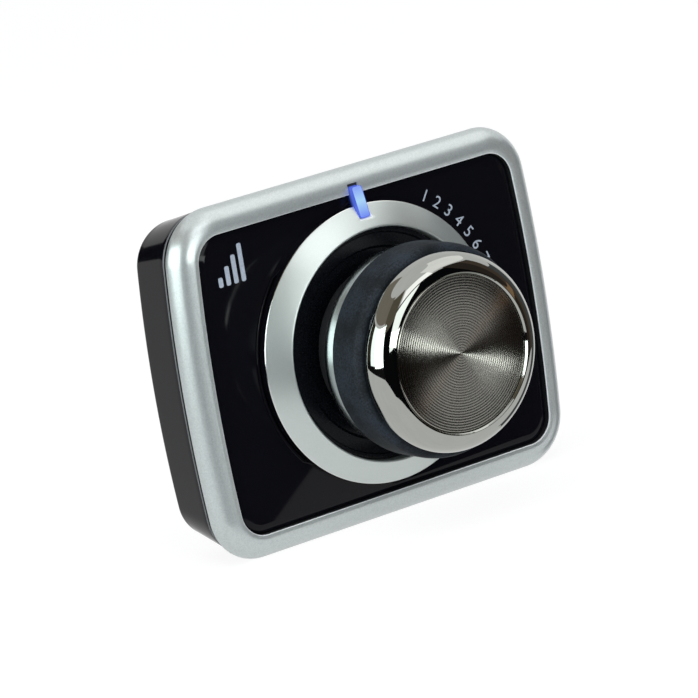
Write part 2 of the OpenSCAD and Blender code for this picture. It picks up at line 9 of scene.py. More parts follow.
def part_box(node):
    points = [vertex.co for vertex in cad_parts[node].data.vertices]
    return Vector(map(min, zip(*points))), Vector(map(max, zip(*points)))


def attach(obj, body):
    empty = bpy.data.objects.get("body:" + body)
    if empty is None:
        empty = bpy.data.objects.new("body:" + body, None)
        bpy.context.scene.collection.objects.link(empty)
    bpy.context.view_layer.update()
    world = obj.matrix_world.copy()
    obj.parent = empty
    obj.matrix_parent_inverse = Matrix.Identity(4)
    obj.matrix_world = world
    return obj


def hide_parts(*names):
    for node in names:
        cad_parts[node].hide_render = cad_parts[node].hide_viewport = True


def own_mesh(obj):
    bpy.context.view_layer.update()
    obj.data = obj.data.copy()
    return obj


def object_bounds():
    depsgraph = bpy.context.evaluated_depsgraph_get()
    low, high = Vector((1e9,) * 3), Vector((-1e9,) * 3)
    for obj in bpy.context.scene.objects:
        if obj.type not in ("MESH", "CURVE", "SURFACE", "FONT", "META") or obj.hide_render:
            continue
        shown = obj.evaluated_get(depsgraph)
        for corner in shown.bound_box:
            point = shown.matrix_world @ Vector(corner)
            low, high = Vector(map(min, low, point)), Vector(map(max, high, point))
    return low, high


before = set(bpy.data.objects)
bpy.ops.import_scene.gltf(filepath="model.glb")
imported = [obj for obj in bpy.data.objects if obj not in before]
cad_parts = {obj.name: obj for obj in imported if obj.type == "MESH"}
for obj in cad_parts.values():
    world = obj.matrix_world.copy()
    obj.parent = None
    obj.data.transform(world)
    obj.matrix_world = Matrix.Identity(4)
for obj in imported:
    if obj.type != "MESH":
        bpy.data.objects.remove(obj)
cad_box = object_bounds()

scene = bpy.context.scene
scene.view_settings.view_transform = "Standard"

# Camera
# The controller is seen from its front left and a little from above, through a long lens.
# The camera is tipped about its own axis, so the panel leans in the picture.
mm = 0.001
seen_point = Vector((-4.03, -12.35, -0.33)) * mm
camera_turn = radians(-34.17)
camera_rise = radians(12.374)
camera_roll = radians(-9.481)
camera_distance = 812.4 * mm
aim = (
    Matrix.Rotation(camera_turn, 4, "Z")
    @ Matrix.Rotation(pi / 2 - camera_rise, 4, "X")
    @ Matrix.Rotation(camera_roll, 4, "Z")
)
lens = bpy.data.cameras.new("camera")
lens.lens = 263.54
lens.sensor_width = 36
camera = bpy.data.objects.new("camera", lens)
camera.matrix_world = Matrix.Translation(seen_point) @ aim @ Matrix.Translation((0, 0, camera_distance))
scene.collection.objects.link(camera)
scene.camera = camera


# Mounting pad
# A die-cut sheet of black closed-cell foam with adhesive on both faces, stuck to the flat back of the shell.
# It holds the whole controller on the surface behind it.
def span(node):
    """A node's box in panel millimetres: its lowest and its highest (across, up, out)."""
    low, high = (np.array(corner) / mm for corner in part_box(node))
    return (low[0], low[2], -high[1]), (high[0], high[2], -low[1])


def linear(code):
    """An sRGB hex colour as linear red, green, blue and alpha."""
    srgb = np.array([int(code[i : i + 2], 16) for i in (1, 3, 5)]) / 255
    value = np.where(srgb <= 0.04045, srgb / 12.92, ((srgb + 0.055) / 1.055) ** 2.4)
    return (*value, 1.0)


def add(tree, kind, inputs=None, ramp=(), **settings):
    """Adds one node with its settings, its inputs set or linked, and a ramp's (position, colour) stops."""
    node = tree.nodes.new(kind)
    for name, value in settings.items():
        setattr(node, name, value)
    for i, (position, colour) in enumerate(ramp):
        node.color_ramp.elements[i].position = position
        node.color_ramp.elements[i].color = linear(colour)
    for name, value in (inputs or {}).items():
        if isinstance(value, bpy.types.NodeSocket):
            tree.links.new(value, node.inputs[name])
        else:
            node.inputs[name].default_value = value
    return node


def surface(name, **sockets):
    """A new material, its node tree and its Principled shader, with even values on the shader's sockets."""
    material = bpy.data.materials.new(name)
    material.use_nodes = True
    shader = material.node_tree.nodes["Principled BSDF"]
    for socket, value in sockets.items():
        shader.inputs[socket.replace("_", " ")].default_value = value
    return material, material.node_tree, shader


def moulded(name, shade, light, roughness, grain, relief, ior=1.5):
    """A moulded or cast finish: noise with a grain in mm mixes two tones and raises a relief in mm."""
    material, tree, shader = surface(name, Roughness=roughness, IOR=ior)
    where = add(tree, "ShaderNodeTexCoord")
    noise = add(
        tree,
        "ShaderNodeTexNoise",
        {"Vector": where.outputs["Object"], "Scale": 1 / (grain * mm), "Detail": 4.0},
    )
    tone = add(tree, "ShaderNodeValToRGB", {"Fac": noise.outputs["Fac"]}, [(0.3, shade), (0.7, light)])
    bump = add(tree, "ShaderNodeBump", {"Height": noise.outputs["Fac"], "Distance": relief * mm})
    tree.links.new(tone.outputs["Color"], shader.inputs["Base Color"])
    tree.links.new(bump.outputs["Normal"], shader.inputs["Normal"])
    return material


def panel(across, up, out):
    """Panel millimetres to the part's frame: the panel stands upright and faces -Y."""
    across, up, out = np.broadcast_arrays(across, up, out)
    return np.stack([across, -out, up], -1) * mm


def skin(name, sheets, materials, crisp=32):
    """A closed piece from sheets of points, rows x columns, where rows and columns may close on themselves.

    A sheet is (points, rows close, columns close, finish by row and column). Where rows close and columns
    don't, the two end columns get a cap. Seams and poles are merged, and faces are turned outwards.
    """
    corners, faces, finishes = [], [], []
    for points, close_rows, close_columns, finish in sheets:
        rows, columns = points.shape[:2]
        index = np.arange(rows * columns).reshape(rows, columns) + sum(len(c) for c in corners)
        caps = [index[:, 0], index[:, -1]] if close_rows and not close_columns else []
        index = np.vstack([index, index[:1]]) if close_rows else index
        index = np.hstack([index, index[:, :1]]) if close_columns else index
        quads = np.stack([index[:-1, :-1], index[:-1, 1:], index[1:, 1:], index[1:, :-1]], -1)
        corners.append(points.reshape(-1, 3))
        faces += quads.reshape(-1, 4).tolist() + [cap.tolist() for cap in caps]
        finishes += np.broadcast_to(finish, quads.shape[:2]).ravel().tolist() + [0] * len(caps)
    mesh = bpy.data.meshes.new(name)
    mesh.from_pydata(np.vstack(corners).tolist(), [], faces)
    mesh.polygons.foreach_set("material_index", finishes)
    form = bmesh.new()
    form.from_mesh(mesh)
    merged = 0.0005 * mm
    bmesh.ops.remove_doubles(form, verts=form.verts, dist=merged)
    bmesh.ops.dissolve_degenerate(form, edges=form.edges, dist=merged)
    bmesh.ops.recalc_face_normals(form, faces=form.faces)
    form.to_mesh(mesh)
    form.free()
    mesh.shade_smooth()
    mesh.set_sharp_from_angle(angle=radians(crisp))
    for material in materials:
        mesh.materials.append(material)
    piece = bpy.data.objects.new(name, mesh)
    scene.collection.objects.link(piece)
    return piece


def place(piece, body, slot, *nodes):
    """Fixes a piece to its body and lets it stand for CAD nodes, which it hides; the slot is not used."""
    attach(piece, body)
    if nodes:
        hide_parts(*nodes)


def round_box(half_x, half_y, radius, steps=12):
    """A rectangle with round corners, anticlockwise: four quarter circles about the corner centres."""
    angle = np.linspace(0, pi / 2, steps) + np.arange(4)[:, None] * pi / 2
    sign_x = np.array([1, -1, -1, 1])[:, None]
    sign_y = np.array([1, 1, -1, -1])[:, None]
    x = sign_x * (half_x - radius) + radius * np.cos(angle)
    y = sign_y * (half_y - radius) + radius * np.sin(angle)
    return np.stack([x, y], -1).reshape(-1, 2)


(_, _, pad_back), (pad_x, pad_y, pad_front) = span("mounting_pad")
pad_edge = 0.12
pad_corner = 3.0
pad_levels = np.array([
    [pad_edge, pad_back],
    [0, pad_back + pad_edge],
    [0, pad_front - pad_edge],
    [pad_edge, pad_front],
])
pad_loops = np.stack([round_box(pad_x - d, pad_y - d, pad_corner - d) for d in pad_levels[:, 0]])
pad_loops = np.concatenate([pad_loops[:1] * 0, pad_loops, pad_loops[-1:] * 0])
pad_out = np.concatenate([[pad_back], pad_levels[:, 1], [pad_front]])[:, None]
# Closed-cell polyethylene foam: matt, with cells of about a third of a millimetre.
foam = moulded("closed_cell_foam", "#1c1c1e", "#303033", 0.85, 0.35, 0.12)
pad = skin("foam_pad", [(panel(pad_loops[..., 0], pad_loops[..., 1], pad_out), False, True, 0)], [foam])
place(pad, "housing", "foam", "mounting_pad")


# Rear shell
# A tapered tray moulded in gloss black ABS: thin walls with draft, a round back edge and four screw bosses.
# Four screws pull it against the chassis, and a notch in its bottom wall lets the lead plug in.
half_w, half_h, crest_z = span("bezel_frame")[1]
(_, _, shell_back), (shell_w, _, shell_rim) = span("rear_shell")
screw_w, screw_h, _ = span("case_screws")[1]
(_, _, socket_base), (socket_w, _, _) = span("lead_socket")
side_r = 260.0
side_steps = 20
corner_r = 8.5
corner_turns = 33


def outline_path(stops, cut):
    """The front's outline, anticlockwise from mid right: points, outward normals and where a notch is.

    Each bowed side is an arc about a far centre, each corner an arc tangent to it, and the straight top and
    bottom carry a point at each stop. The notch mark is 1 at a cut stop on top, -1 at one on the bottom,
    and else 0.
    """
    corner_y = half_h - corner_r
    side_x = half_w - side_r
    corner_x = side_x + np.sqrt((side_r - corner_r) ** 2 - corner_y**2)
    turn = np.arctan2(corner_y, corner_x - side_x)
    side_a = np.linspace(0, turn, side_steps)[:, None]
    corner_a = np.linspace(turn, pi / 2, corner_turns)[1:, None]
    side = np.hstack([side_x + side_r * np.cos(side_a), side_r * np.sin(side_a)])
    corner = np.hstack([corner_x + corner_r * np.cos(corner_a), corner_y + corner_r * np.sin(corner_a)])
    angle = np.vstack([side_a, corner_a])
    quarter = np.vstack([side, corner])
    lean = np.hstack([np.cos(angle), np.sin(angle)])
    flat = np.column_stack([stops, np.full(len(stops), half_h)])
    points = np.vstack([quarter, flat, (quarter * [-1, 1])[::-1]])
    normals = np.vstack([lean, np.tile([0, 1], (len(stops), 1)), (lean * [-1, 1])[::-1]])
    mark = np.concatenate([np.zeros(len(quarter)), cut, np.zeros(len(quarter))])
    low = slice(-2, 0, -1)
    return (
        np.vstack([points, points[low] * [1, -1]]),
        np.vstack([normals, normals[low] * [1, -1]]),
        np.concatenate([mark, -mark[low]]),
    )


def outline_at(points, normals, inset, drop=0.0):
    """The outline moved in by inset, with its height then squeezed so that top and bottom come in by drop."""
    inset, drop = np.broadcast_arrays(np.asarray(inset, float), np.asarray(drop, float))
    moved = points - inset[..., None] * normals
    lower = 1 - drop / (half_h - inset)
    return moved[..., 0], moved[..., 1] * lower


wall = 1.6
back_round = 1.0
rim_round = 0.4
round_steps = 10
draft = 0.06
extra_drop = 0.15
floor_z = shell_back + wall
rim_in = half_w - shell_w
depth = shell_rim - shell_back
back_in = rim_in + draft * depth
back_drop = extra_drop * depth
shell_turn = np.linspace(0, pi / 2, round_steps)
wall_ends = [shell_back + back_round, shell_rim - rim_round]
wall_z = np.linspace(*wall_ends, 9)[1:-1]
outer = np.vstack([
    np.column_stack([
        back_in + back_round * (1 - np.sin(shell_turn)),
        shell_back + back_round * (1 - np.cos(shell_turn)),
        np.full(round_steps, back_drop),
    ]),
    np.column_stack([
        np.interp(wall_z, wall_ends, [back_in, rim_in]),
        wall_z,
        np.interp(wall_z, wall_ends, [back_drop, 0]),
    ]),
    np.column_stack([
        rim_in + rim_round * (1 - np.cos(shell_turn)),
        shell_rim - rim_round * (1 - np.sin(shell_turn)),
        np.zeros(round_steps),
    ]),
])
inner = np.array([
    [rim_in + wall, shell_rim, 0],
    [back_in + wall, floor_z, extra_drop * (depth - wall)],
])
plug_play = 0.05
notch_x = socket_w + plug_play
notch_z = socket_base - plug_play
notch_stops = np.array([1, 1, 0, -1, -1])
notch_cut = np.array([0, 1, 1, 1, 0])
shell_path, shell_normals, shell_mark = outline_path(notch_x * notch_stops, notch_cut)


def cut_down(levels):
    """The same levels with nothing above the notch's sill: what stood higher follows the wall down to it."""
    order = np.argsort(levels[:, 1], kind="stable")
    sill = np.minimum(levels[:, 1], notch_z)
    column = [np.interp(sill, levels[order, 1], levels[order, k]) for k in (0, 2)]
    return np.column_stack([column[0], sill, column[1]])


levels = np.vstack([outer, inner])
cut_levels = np.vstack([cut_down(outer), cut_down(inner)])
column_levels = np.where(shell_mark[None, :, None] < 0, cut_levels[:, None], levels[:, None])
shell_x, shell_y = outline_at(shell_path, shell_normals, column_levels[..., 0], column_levels[..., 2])
# The first rows of the rim's rounding carry the painted highlight.
rim_highlight_rows = 4
rim_row = round_steps + len(wall_z)
shell_row = np.arange(len(levels) - 1)[:, None]
shell_finish = np.where((shell_row >= rim_row) & (shell_row < rim_row + rim_highlight_rows), 1, 0)
shell_sheets = [(panel(shell_x, shell_y, column_levels[..., 1]), False, True, shell_finish)]

# Each quarter of the shell's back runs from the edge in to a screw: recess, seat, bore, boss and floor.
head_r = 2.2
recess_r = 2.4
bore_r = 1.4
boss_r = 3.1
seat_z = shell_back + 1.8
boss_z = shell_back + 3.6
boss = [(recess_r, shell_back), (recess_r, seat_z), (bore_r, seat_z)]
boss += [(bore_r, boss_z), (boss_r, boss_z), (boss_r, floor_z)]
screw_at = np.array([screw_w - head_r, screw_h - head_r])
middle = len(shell_path) // 4 + 1
spoke = np.linspace(1, 0, 6)[1:, None]


def quarter_loop(row):
    """The first quarter of one row of the shell, closed along both middle lines."""
    edge = np.column_stack([shell_x[row], shell_y[row]])[:middle]
    return np.vstack([edge, edge[-1] * spoke, edge[0] * spoke[-2::-1][:-1]])


outside, inside = quarter_loop(0), quarter_loop(-1)
ray = outside - screw_at
ray = ray / np.linalg.norm(ray, axis=1, keepdims=True)
back_loops = np.stack([outside] + [screw_at + r * ray for r, _ in boss] + [inside])
back_out = np.array([shell_back] + [z for _, z in boss] + [floor_z])[:, None]
for mirror_x in (1, -1):
    for mirror_y in (1, -1):
        quarter = panel(mirror_x * back_loops[..., 0], mirror_y * back_loops[..., 1], back_out)
        shell_sheets.append((quarter, False, True, 0))


def gloss_black(name, peel, haze, ior):
    """Polished black ABS: clear reflections with a faint peel in mm, and haze where it has been wiped."""
    wipe_size = 9
    peel_depth = 0.004
    material, tree, shader = surface(name, Base_Color=linear("#0f0f14"), IOR=ior)
    where = add(tree, "ShaderNodeTexCoord")
    wave = add(
        tree,
        "ShaderNodeTexNoise",
        {"Vector": where.outputs["Object"], "Scale": 1 / (peel * mm), "Detail": 1.0},
    )
    wipe = add(
        tree,
        "ShaderNodeTexNoise",
        {"Vector": where.outputs["Object"], "Scale": 1 / (wipe_size * mm), "Detail": 5.0},
    )
    rough = add(
        tree,
        "ShaderNodeMapRange",
        {"Value": wipe.outputs["Fac"], "To Min": haze * 0.5, "To Max": haze * 1.5},
    )
    bump = add(
        tree,
        "ShaderNodeBump",
        {"Height": wave.outputs["Fac"], "Strength": 0.4, "Distance": peel_depth * mm},
    )
    tree.links.new(rough.outputs["Result"], shader.inputs["Roughness"])
    tree.links.new(bump.outputs["Normal"], shader.inputs["Normal"])
    return material


# Tool-polished ABS: deep black that mirrors the room at a few per cent, more toward grazing.
shell_black = gloss_black("polished_black_abs", 2.5, 0.1, 1.24)
# A painted highlight: a dull grey line on the first rows of the rim's rounding, where the rim catches the
# light.
rim_highlight_paint = moulded("painted_rim_highlight", "#6a6d6f", "#7d8183", 0.5, 0.4, 0.004)
shell = skin("shell_moulding", shell_sheets, [shell_black, rim_highlight_paint])
place(shell, "housing", "gloss_black", "rear_shell")


# Screws
# Small zinc-plated steel screws with a cross drive: four through the shell into the chassis, four under the
# board. The encoder's metal parts, the knob's shaft and the capacitors' cans have the same bright plating.
def plated(name, shade, light, roughness, grain):
    """Plated or turned metal: noise drawn out along one axis, its grain in mm, varies tone and polish."""
    material, tree, shader = surface(name, Metallic=1.0)
    where = add(tree, "ShaderNodeTexCoord")
    stretch = add(tree, "ShaderNodeMapping", {"Vector": where.outputs["Object"], "Scale": (1, 6, 1)})
    noise = add(
        tree,
        "ShaderNodeTexNoise",
        {"Vector": stretch.outputs["Vector"], "Scale": 1 / (grain * mm), "Detail": 3.0},
    )
    tone = add(tree, "ShaderNodeValToRGB", {"Fac": noise.outputs["Fac"]}, [(0, shade), (1, light)])
    rough = add(
        tree,
        "ShaderNodeMapRange",
        {"Value": noise.outputs["Fac"], "To Min": roughness * 0.8, "To Max": roughness * 1.25},
    )
    tree.links.new(tone.outputs["Color"], shader.inputs["Base Color"])
    tree.links.new(rough.outputs["Result"], shader.inputs["Roughness"])
    return material


def dress(material, *nodes):
    """Gives CAD nodes that show as they are a finish in each of their material slots."""
    for name in nodes:
        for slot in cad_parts[name].material_slots:
            slot.material = material


# Zinc-plated steel: bright grey with soft tool marks.
zinc_steel = plated("zinc_plated_steel", "#9a9da2", "#c3c6ca", 0.3, 0.4)
dress(zinc_steel, "case_screws", "board_screws", "encoder_terminals", "encoder_bushing", "detent_spring")
dress(zinc_steel, "encoder_washer", "encoder_nut", "knob_shaft", "shaft_clip", "board_capacitors")


# Circuit board
# A glass-epoxy board on the shell's standoffs, with the controller chip, capacitors, resistors and the light
# source soldered to it. Green solder resist covers its copper tracks.
track_pitch = 1.3
# Solder resist over copper: satin green, with the tracks as paler lines.
resist, tree, shader = surface("green_solder_resist", Roughness=0.35, IOR=1.5)
where = add(tree, "ShaderNodeTexCoord")
tracks = add(
    tree,
    "ShaderNodeTexBrick",
    {
        "Vector": where.outputs["Object"],
        "Color1": linear("#1d6a40"),
        "Color2": linear("#175634"),
        "Mortar": linear("#2f8a58"),
        "Scale": 1 / (track_pitch * mm),
        "Mortar Size": 0.06,
    },
)
tree.links.new(tracks.outputs["Color"], shader.inputs["Base Color"])
dress(resist, "circuit_board")
# Moulded epoxy: dark grey and finely matt.
dress(moulded("moulded_epoxy", "#17181a", "#26282b", 0.6, 0.2, 0.01), "controller_chip", "board_resistors")
# Clear epoxy lens on a white body: pale and glossy.
dress(moulded("clear_epoxy_lens", "#d5e2f0", "#eef5fb", 0.15, 0.6, 0.01), "indicator_led")


# Lead socket
# A natural nylon shroud soldered to the board's lower edge, open downwards, with six gold-flashed contacts.
# The lead's plug slides in through the notch in the shell.
# Unfilled nylon: a milky cream with a soft sheen. The encoder's rotor is moulded in it too.
dress(moulded("natural_nylon", "#d8d3c2", "#ebe7d9", 0.45, 0.8, 0.02), "lead_socket", "encoder_rotor")
# Gold flash on spring brass: warm and bright.
dress(plated("gold_flash", "#b98d3a", "#dcb65e", 0.25, 0.5), "socket_contacts", "contact_brush")


# Chassis and encoder body
# A stiff matt black plate behind the bezel: it carries the panel, the ring and the encoder's bushing.
# The chassis, the encoder's base and the knob's core are moulded in nylon, the switch plunger in acetal.
# Glass-filled nylon: dull black with a fine spark-eroded grain.
filled_nylon = moulded("glass_filled_nylon", "#131416", "#24262a", 0.6, 0.25, 0.02)
dress(filled_nylon, "front_chassis", "encoder_base", "knob_core")
# Red acetal: smooth and a little waxy.
dress(moulded("red_acetal", "#6d2b26", "#8d3d36", 0.4, 0.6, 0.01), "switch_plunger")


# Snap dome
# A domed disc of thin spring steel in the floor of the encoder: the plunger rests on its crown.
# It snaps flat when the knob is pushed, which closes the switch, and then lifts the plunger again.
(_, _, dome_back), (dome_r, _, dome_front) = span("switch_dome")
dome_t = 0.12
turns = np.linspace(0, 2 * pi, 193)[:-1]


def turned(profile):
    """A profile of (radius, out) in mm carried round the knob's axis."""
    radius, out = profile[:, :1], profile[:, 1:]
    return panel(radius * np.sin(turns), radius * np.cos(turns), out)


dome_share = np.linspace(0, 1, 13)
dome_rise = (dome_front - dome_t - dome_back) * (1 - dome_share**2)
dome_under = np.column_stack([dome_r * dome_share, dome_back + dome_rise])
dome_profile = np.vstack([dome_under, dome_under[::-1] + [0, dome_t]])
dome = skin("snap_dome", [(turned(dome_profile), False, True, 0)], [zinc_steel])
place(dome, "housing", "steel", "switch_dome")
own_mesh(dome)


# Bezel frame
# A moulded frame with bowed sides and a rolled section, painted satin silver and clipped round the chassis.
# A slot in its upper edge takes the end of the light bar.
# A corner takes five points, and a hair is a length too small to see.
corner_steps = 5
hair = 0.001


def rounded(corners, radii, steps=corner_steps):
    """A profile with each corner eased: a parabola tangent to both sides, which starts a radius away."""
    corners = np.array(corners, float)
    reach = np.array(radii, float)[:, None, None]
    before = np.roll(corners, 1, 0) - corners
    after = np.roll(corners, -1, 0) - corners
    back = reach * (before / np.linalg.norm(before, axis=1, keepdims=True))[:, None]
    ahead = reach * (after / np.linalg.norm(after, axis=1, keepdims=True))[:, None]
    t = np.linspace(0, 1, steps)[None, :, None]
    return (corners[:, None] + (1 - t) ** 2 * back + t**2 * ahead).reshape(-1, 2)


bezel_back = span("bezel_frame")[0][2]
(_, bar_low, stem_back), (bar_half, bar_high, bar_top) = span("light_pipe")
(_, _, chassis_front), (panel_x, _, lip_top) = span("face_panel")
bezel_w = half_w - panel_x - 0.05
bezel_crest = 0.85 * bezel_w
bezel_edge = 0.35
bezel_break = bezel_edge * 0.3
slot_gap = 0.1
slot_x = bar_half + slot_gap
slot_floor = crest_z - 0.5
slot_end = half_h - bar_high - slot_gap
fullness = 1.8
bend = 2 / fullness
flank_back = bezel_back + bezel_edge
flank_steps = 40
crest_steps = 20
split = np.arccos((1 - slot_end / bezel_crest) ** (fullness / 2))
flank_turn = np.concatenate([np.linspace(0, split, flank_steps), np.linspace(split, pi / 2, crest_steps)])
flank = np.column_stack([
    bezel_crest * (1 - np.cos(flank_turn) ** bend),
    flank_back + (crest_z - flank_back) * np.abs(np.sin(flank_turn)) ** bend,
])
shoulder_drop = 0.06
shoulder_r = 0.14
shoulder_steps = 10
shoulder = rounded(
    [[bezel_crest, crest_z], [bezel_w, crest_z - shoulder_drop], [bezel_w, chassis_front]],
    [hair, shoulder_r, hair],
    shoulder_steps,
)[shoulder_steps : 2 * shoulder_steps]
lip_in = rim_in + 0.35
under = np.array([
    [bezel_w, chassis_front],
    [lip_in, chassis_front],
    [lip_in, bezel_back],
    [bezel_edge, bezel_back],
    [bezel_break, bezel_back + bezel_break],
])
section = np.vstack([flank, shoulder, under])
bezel_path, bezel_normals, bezel_mark = outline_path(slot_x * notch_stops, notch_cut)
bezel_row = np.arange(len(section))[:, None]
slot_rows = (bezel_row >= flank_steps) & (section[:, 1:] > slot_floor)
bezel_z = np.where((bezel_mark > 0) & slot_rows, slot_floor, section[:, 1:])
bezel_x, bezel_y = outline_at(bezel_path, bezel_normals, section[:, :1])

# Satin silver paint: aluminium flake in a clear binder over ABS. Flakes a tenth of a millimetre wide, drawn
# larger so that they show, vary the tone, and the binder gives a soft broad sheen.
flake_size = 0.18
silver, tree, shader = surface("satin_silver_paint", Metallic=0.6, Roughness=0.29)
where = add(tree, "ShaderNodeTexCoord")
flake = add(
    tree,
    "ShaderNodeTexVoronoi",
    {"Vector": where.outputs["Object"], "Scale": 1 / (flake_size * mm)},
)
tone = add(tree, "ShaderNodeValToRGB", {"Fac": flake.outputs["Color"]}, [(0, "#c2c9c8"), (1, "#d3dad9")])
bump = add(
    tree,
    "ShaderNodeBump",
    {"Height": flake.outputs["Distance"], "Strength": 0.15, "Distance": 0.01 * mm},
)
tree.links.new(tone.outputs["Color"], shader.inputs["Base Color"])
tree.links.new(bump.outputs["Normal"], shader.inputs["Normal"])
# A painted highlight: a pale line on the rounded edge of the window and on the side walls of the slot.
edge_highlight, _, _ = surface("painted_edge_highlight", Base_Color=linear("#eef2f2"), Metallic=0.3, Roughness=0.5)
wall_row = len(flank) + len(shoulder) - 1
mark_step = np.diff(bezel_mark, append=0)
past_flank = bezel_row >= flank_steps - 1
slot_side = (mark_step > 0) & past_flank
slot_bottom = (bezel_mark > 0) & (mark_step == 0) & past_flank
# The shoulder rows and the slot's side walls carry the painted highlight.
bezel_finish = np.where((bezel_row >= len(flank)) | slot_side, 2, 0)
# Painted shade: from the foot of the shoulder round the back, and on the slot's floor, the bezel takes the
# black nylon finish, which darkens its inner wall, the gap behind it and the recess at the bar's end.
bezel_finish = np.where((bezel_row >= wall_row) | slot_bottom, 1, bezel_finish)
bezel_points = panel(bezel_x, bezel_y, bezel_z)
bezel = skin("silver_bezel", [(bezel_points, True, True, bezel_finish)], [silver, filled_nylon, edge_highlight])
place(bezel, "housing", "satin_silver", "bezel_frame")


# Face panel
# A gloss black ABS plate with a rolled edge, set in the bezel's window round the trim ring.
# It is parted at twelve o'clock, where the light bar crosses, and a thin raised lip follows the ring.
(_, _, ring_back), (ring_r, _, ring_top) = span("trim_ring")
panel_in = half_w - panel_x
lip_h = 0.25
lip_mid = ring_r + 0.55
lip_half = 0.18
hole_r = ring_r + 0.15
face_z = lip_top - lip_h
lip_foot = face_z - 0.1
roll_w = 1.6
roll_h = 0.66
panel_path, panel_normals, _ = outline_path(np.array([slot_x, -slot_x]), np.zeros(2))
first = len(panel_path) // 4 + 1
panel_path = np.roll(panel_path, -first, 0)
panel_normals = np.roll(panel_normals, -first, 0)


def round_slot(radius):
    """Points on a circle, one for each point of the panel's edge, from one side of the slot to the other."""
    edge_x, edge_y = outline_at(panel_path, panel_normals, panel_in + roll_w)
    bearing = np.unwrap(np.arctan2(edge_y, edge_x))
    share = (bearing - bearing[0]) / (bearing[-1] - bearing[0])
    radius = np.asarray(radius, float)[:, None]
    gap = np.arcsin(slot_x / radius)
    angle = pi / 2 + gap + share * (2 * pi - 2 * gap)
    return radius * np.cos(angle), radius * np.sin(angle)


lip = rounded(
    [
        [lip_mid - lip_half, lip_foot],
        [lip_mid - lip_half, lip_top],
        [lip_mid + lip_half, lip_top],
        [lip_mid + lip_half, face_z - hair],
    ],
    [0.02, 0.08, 0.08, 0.05],
    4,
)
circle = np.vstack([[[hole_r, chassis_front], [hole_r, lip_foot]], lip])
circle_x, circle_y = round_slot(circle[:, 0])
circle_z = np.broadcast_to(circle[:, 1:], circle_x.shape)
# Where the rolled edge would run into the lip, it stops at the lip's foot.
roll_in = panel_in + roll_w * (1 - np.cos(np.linspace(pi / 2, 0, 14)))[:, None]
lip_r = lip_mid + lip_half + 0.02
ahead = (panel_path * panel_normals).sum(1)
reach = np.sqrt(np.maximum(lip_r**2 - (panel_path**2).sum(1) + ahead**2, 0))
roll_in = np.minimum(roll_in, np.where(reach > 0, ahead - reach, np.inf))
roll_x, roll_y = outline_at(panel_path, panel_normals, roll_in)
roll_cos = np.clip(1 - (roll_in - panel_in) / roll_w, 0, 1)
roll_z = face_z - roll_h * (1 - np.sqrt(1 - roll_cos**2))
foot_x, foot_y = outline_at(panel_path, panel_normals, np.full((1, 1), panel_in))
face_x = np.vstack([circle_x, roll_x, foot_x])
face_y = np.vstack([circle_y, roll_y, foot_y])
face_out = np.vstack([circle_z, roll_z, foot_x * 0 + chassis_front])
# The same polished ABS as the shell, flatter and cleaner: it faces the eye.
panel_black = gloss_black("polished_black_panel", 4.0, 0.06, 1.25)
face = skin("gloss_panel", [(panel(face_x, face_y, face_out), True, False, 0)], [panel_black])
place(face, "housing", "gloss_black", "face_panel")


# Printed scale
# Pale ink pad-printed on the face panel: numbers along the ring at the upper right, and four rising bars at
# the upper left that stand for loudness.
ink_t = 0.012
# Pad-printing ink: an even pale blue-grey with a dull sheen.
ink = moulded("pad_printed_ink", "#a9b4c2", "#bcc7d4", 0.5, 0.3, 0.003)

stroke_half = 0.42
stroke_round = 0.3
stroke_pitch = 1.45
stroke_first = 1.6
stroke_rise = 1.5
motif_x = -25.0
motif_foot = 15.85
stroke_out = face_z + ink_t * np.array([[0.1], [0.1], [1], [1]])
strokes = []
for i in range(4):
    height = stroke_first + stroke_rise * i
    stroke_mid = np.array([motif_x + (i - 1.5) * stroke_pitch, motif_foot + height / 2])
    stroke = round_box(stroke_half, height / 2, stroke_round, 6)
    loops = stroke * np.array([0, 1, 1, 0])[:, None, None] + stroke_mid
    strokes.append((panel(loops[..., 0], loops[..., 1], stroke_out), False, True, 0))
loudness_bars = skin("loudness_bars", strokes, [ink])
place(loudness_bars, "housing", "satin_silver")

number_h = 1.95
number_r = 23.85
number_first = radians(34)
number_step = radians(6.2)
digit_share = 0.69
form = bmesh.new()
for i in range(8):
    text = bpy.data.curves.new("number", "FONT")
    text.body = str(i + 1)
    text.size = number_h / digit_share * mm
    text.align_x = "CENTER"
    text.extrude = ink_t / 2 * mm
    text.resolution_u = 6
    holder = bpy.data.objects.new("number", text)
    scene.collection.objects.link(holder)
    bpy.context.view_layer.update()
    digit = bpy.data.meshes.new_from_object(holder.evaluated_get(bpy.context.evaluated_depsgraph_get()))
    digit.transform(
        Matrix.Rotation(pi / 2, 4, "X")
        @ Matrix.Rotation(-(number_first + i * number_step), 4, "Z")
        @ Matrix.Translation((0, number_r * mm, (face_z + ink_t / 2) * mm))
    )
    form.from_mesh(digit)
    bpy.data.objects.remove(holder)
scale_mesh = bpy.data.meshes.new("scale_numbers")
form.to_mesh(scale_mesh)
form.free()
scale_mesh.materials.append(ink)
scale_numbers = bpy.data.objects.new("scale_numbers", scale_mesh)
scene.collection.objects.link(scale_numbers)
place(scale_numbers, "housing", "satin_silver")


